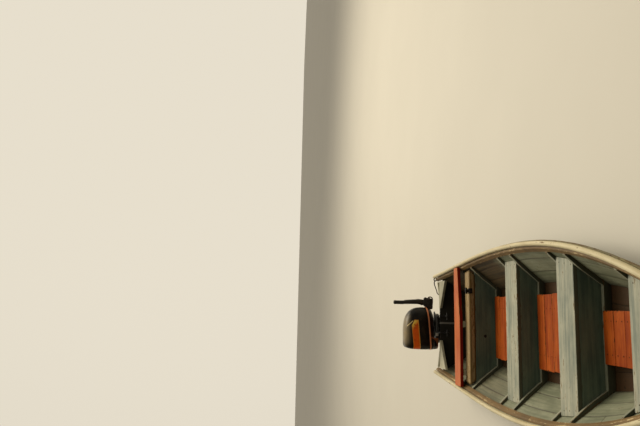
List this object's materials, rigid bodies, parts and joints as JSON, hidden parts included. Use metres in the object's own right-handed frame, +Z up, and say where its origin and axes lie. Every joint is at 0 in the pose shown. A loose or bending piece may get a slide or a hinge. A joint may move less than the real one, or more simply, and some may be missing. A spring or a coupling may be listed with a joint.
{
  "type": "open wooden river boat with tiller outboard",
  "caption": "Open planked flat-bottom river boat with flaring sides, seats across on bulkhead boards, red crossbar and floor panels, and a tiller outboard turned hard over on the transom.",
  "frame": {"origin": "on the centreline at mid length, at the waterline", "axes": "+X port, +Y aft towards the outboard, +Z up; the bow points along -Y"},
  "size_m": [1.3262, 4.9668, 1.14],
  "materials": {
    "inside_paint": "worn grey-green paint",
    "upper_paint": "worn green paint",
    "lower_paint": "worn red-brown paint",
    "cap_paint": "worn cream paint",
    "wale_paint": "worn olive-brown paint",
    "bare_wood": "weathered bare timber",
    "crossbar_paint": "faded red paint",
    "floor_paint": "red-orange paint, scuffed",
    "cowl_plastic": "black, with an orange band",
    "bracket_metal": "cast, painted and chipped",
    "casing_metal": "dark satin paint",
    "engine_iron": "plain block",
    "grip_rubber": "matt"
  },
  "bodies": {
    "hull": {"lower_plank_port": "lower_paint", "lower_plank_starboard": "lower_paint", "middle_plank_port": "upper_paint", "middle_plank_starboard": "upper_paint", "aft_upper_plank_port": "upper_paint", "aft_upper_plank_starboard": "upper_paint", "fore_upper_plank_port": "upper_paint", "fore_upper_plank_starboard": "upper_paint", "bottom_planking": "bare_wood", "cap_rail_port": "cap_paint", "cap_rail_starboard": "cap_paint", "aft_wale_port": "wale_paint", "aft_wale_starboard": "wale_paint", "fore_wale_port": "wale_paint", "fore_wale_starboard": "wale_paint", "aft_inwale_port": "bare_wood", "aft_inwale_starboard": "bare_wood", "fore_inwale_port": "bare_wood", "fore_inwale_starboard": "bare_wood", "aft_seat_aft_frame": "inside_paint", "aft_seat_fore_frame": "inside_paint", "second_seat_aft_frame": "inside_paint", "second_seat_fore_frame": "inside_paint", "third_seat_aft_frame": "inside_paint", "third_seat_fore_frame": "inside_paint", "fourth_seat_aft_frame": "inside_paint", "fourth_seat_fore_frame": "inside_paint", "bow_frame": "inside_paint", "aft_seat": "cap_paint", "second_seat": "inside_paint", "third_seat": "inside_paint", "fourth_seat": "inside_paint", "aft_bulkhead": "inside_paint", "second_bulkhead": "inside_paint", "third_bulkhead": "inside_paint", "fourth_bulkhead": "inside_paint", "aft_floor_panel": "floor_paint", "middle_floor_panel": "floor_paint", "fore_floor_panel": "floor_paint", "transom": "inside_paint", "stem": "cap_paint", "foredeck": "inside_paint", "quarter_knee_port": "inside_paint", "quarter_knee_starboard": "inside_paint", "crossbar": "crossbar_paint", "clamp_bracket": "bracket_metal"},
    "swivel": {"swivel_bracket": "bracket_metal"},
    "motor": {"upper_cowl": "cowl_plastic", "engine_block": "engine_iron", "lower_cowl": "cowl_plastic", "steering_yoke": "bracket_metal", "leg": "casing_metal", "gearcase": "casing_metal", "tiller_bracket": "casing_metal"},
    "propeller": {"propeller": "casing_metal"},
    "tiller": {"tiller_handle": "casing_metal", "tiller_grip": "grip_rubber"}
  },
  "joints": [
    {"name": "motor_tilt", "type": "hinge", "parent": "hull", "child": "swivel", "pos_m": [0, 2.255, 0.312], "axis": [1, 0, 0], "range_deg": [0, 70]},
    {"name": "steering", "type": "hinge", "parent": "swivel", "child": "motor", "pos_m": [0, 2.38, 0.2], "axis": [0, 0, 1], "range_deg": [-180, 0]},
    {"name": "propeller_spin", "type": "hinge", "parent": "motor", "child": "propeller", "pos_m": [-0.3, 2.38, -0.255], "axis": [1, 0, 0], "continuous": true},
    {"name": "tiller_fold", "type": "hinge", "parent": "motor", "child": "tiller", "pos_m": [0.222, 2.38, 0.405], "axis": [0, 1, 0], "range_deg": [0, 90]}
  ]
}
